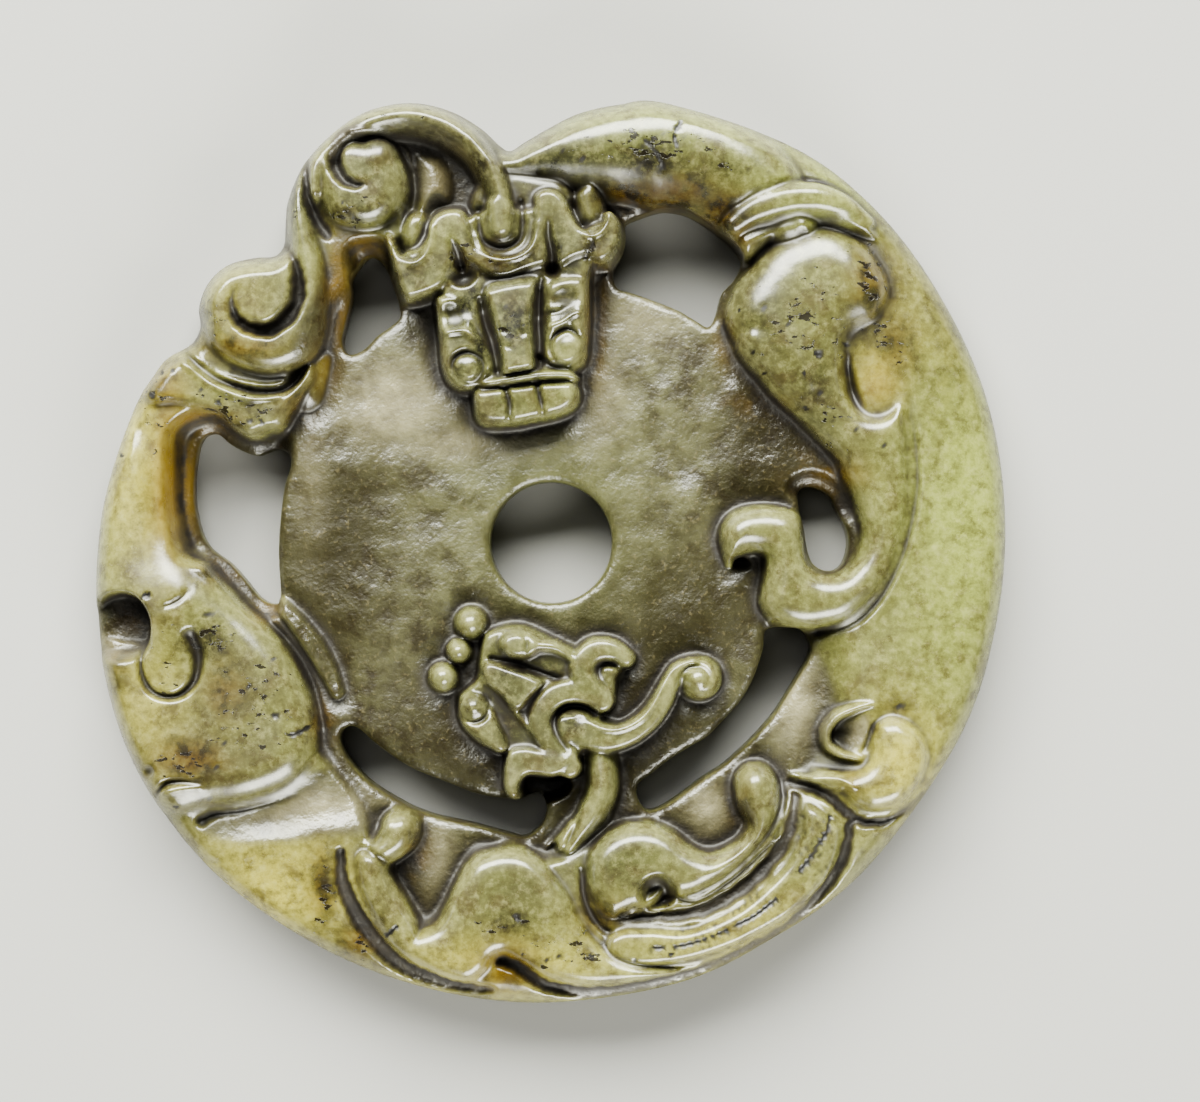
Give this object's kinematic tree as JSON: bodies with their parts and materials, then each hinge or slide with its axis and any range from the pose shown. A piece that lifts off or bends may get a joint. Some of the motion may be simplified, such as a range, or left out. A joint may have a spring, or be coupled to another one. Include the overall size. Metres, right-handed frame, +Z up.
{
  "type": "jade bi disc",
  "caption": "Openwork nephrite bi disc with a round cord hole, pierced openings and chi dragons in high relief, lying on its flat back.",
  "frame": {"origin": "centre of the bounding box, on the flat back that the disc lies on", "axes": "+Z up out of the carved face, through the disc's thickness; +Y towards the crested dragon's crest; +X towards its shoulder and hooked leg"},
  "size_m": [0.06, 0.0594, 0.0079],
  "materials": {
    "nephrite": "polished relief over a duller ground, with brown stains and dark dirt in the cuts"
  },
  "bodies": {
    "root": {"jade_disc": "nephrite"}
  },
  "joints": []
}
